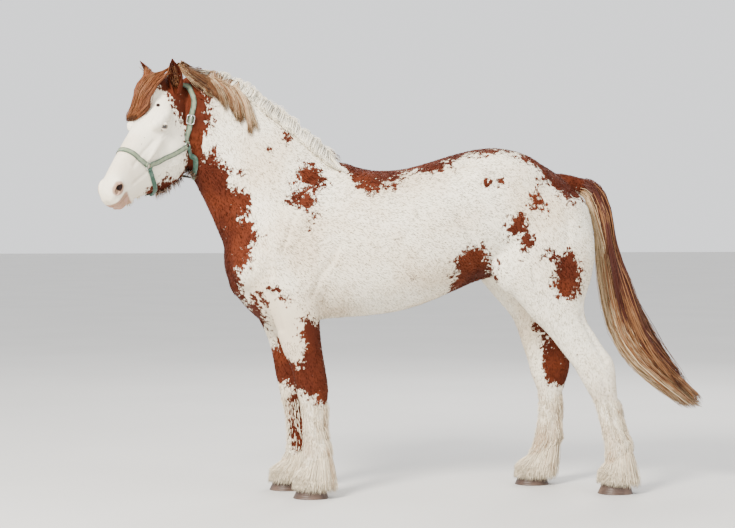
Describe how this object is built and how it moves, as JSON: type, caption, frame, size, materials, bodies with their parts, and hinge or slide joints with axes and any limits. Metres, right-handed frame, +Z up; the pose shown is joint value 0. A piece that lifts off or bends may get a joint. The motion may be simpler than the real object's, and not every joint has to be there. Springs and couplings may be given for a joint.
{
  "type": "heavy horse",
  "caption": "Life-size standing heavy horse with its head turned to its left, mane, tail and leg feather, wearing a webbing halter.",
  "frame": {"origin": "on the floor, under the middle of the horse's box", "axes": "the horse faces -X, its left side is -Y, +Z is up"},
  "size_m": [2.9082, 0.8052, 2.101],
  "materials": {
    "coat": "cream-white horse coat with red-brown patches",
    "red_coat": "red-brown horse coat",
    "hair": "flaxen horsehair",
    "horn": "hoof horn",
    "eye": "wet dark eye",
    "webbing": "woven green webbing",
    "hardware": "plated steel"
  },
  "bodies": {
    "root": {"head": "coat", "neck": "coat", "torso": "coat", "hindquarters": "coat", "tail": "hair", "ear_left": "red_coat", "ear_right": "red_coat", "eye_left": "eye", "eye_right": "eye", "foreleg_upper_left": "coat", "foreleg_upper_right": "coat", "foreleg_lower_left": "coat", "foreleg_lower_right": "coat", "hindleg_upper_left": "coat", "hindleg_upper_right": "coat", "hindleg_lower_left": "coat", "hindleg_lower_right": "coat", "hoof_fore_left": "horn", "hoof_fore_right": "horn", "hoof_hind_left": "horn", "hoof_hind_right": "horn", "halter_noseband": "webbing", "halter_crown": "webbing", "halter_cheek_left": "webbing", "halter_cheek_right": "webbing", "halter_throat": "webbing", "halter_chin_left": "webbing", "halter_chin_right": "webbing", "halter_buckle": "hardware", "halter_ring_chin": "hardware", "halter_ring_side_left": "hardware", "halter_ring_side_right": "hardware", "halter_ring_upper_left": "hardware", "halter_ring_upper_right": "hardware"}
  },
  "joints": []
}
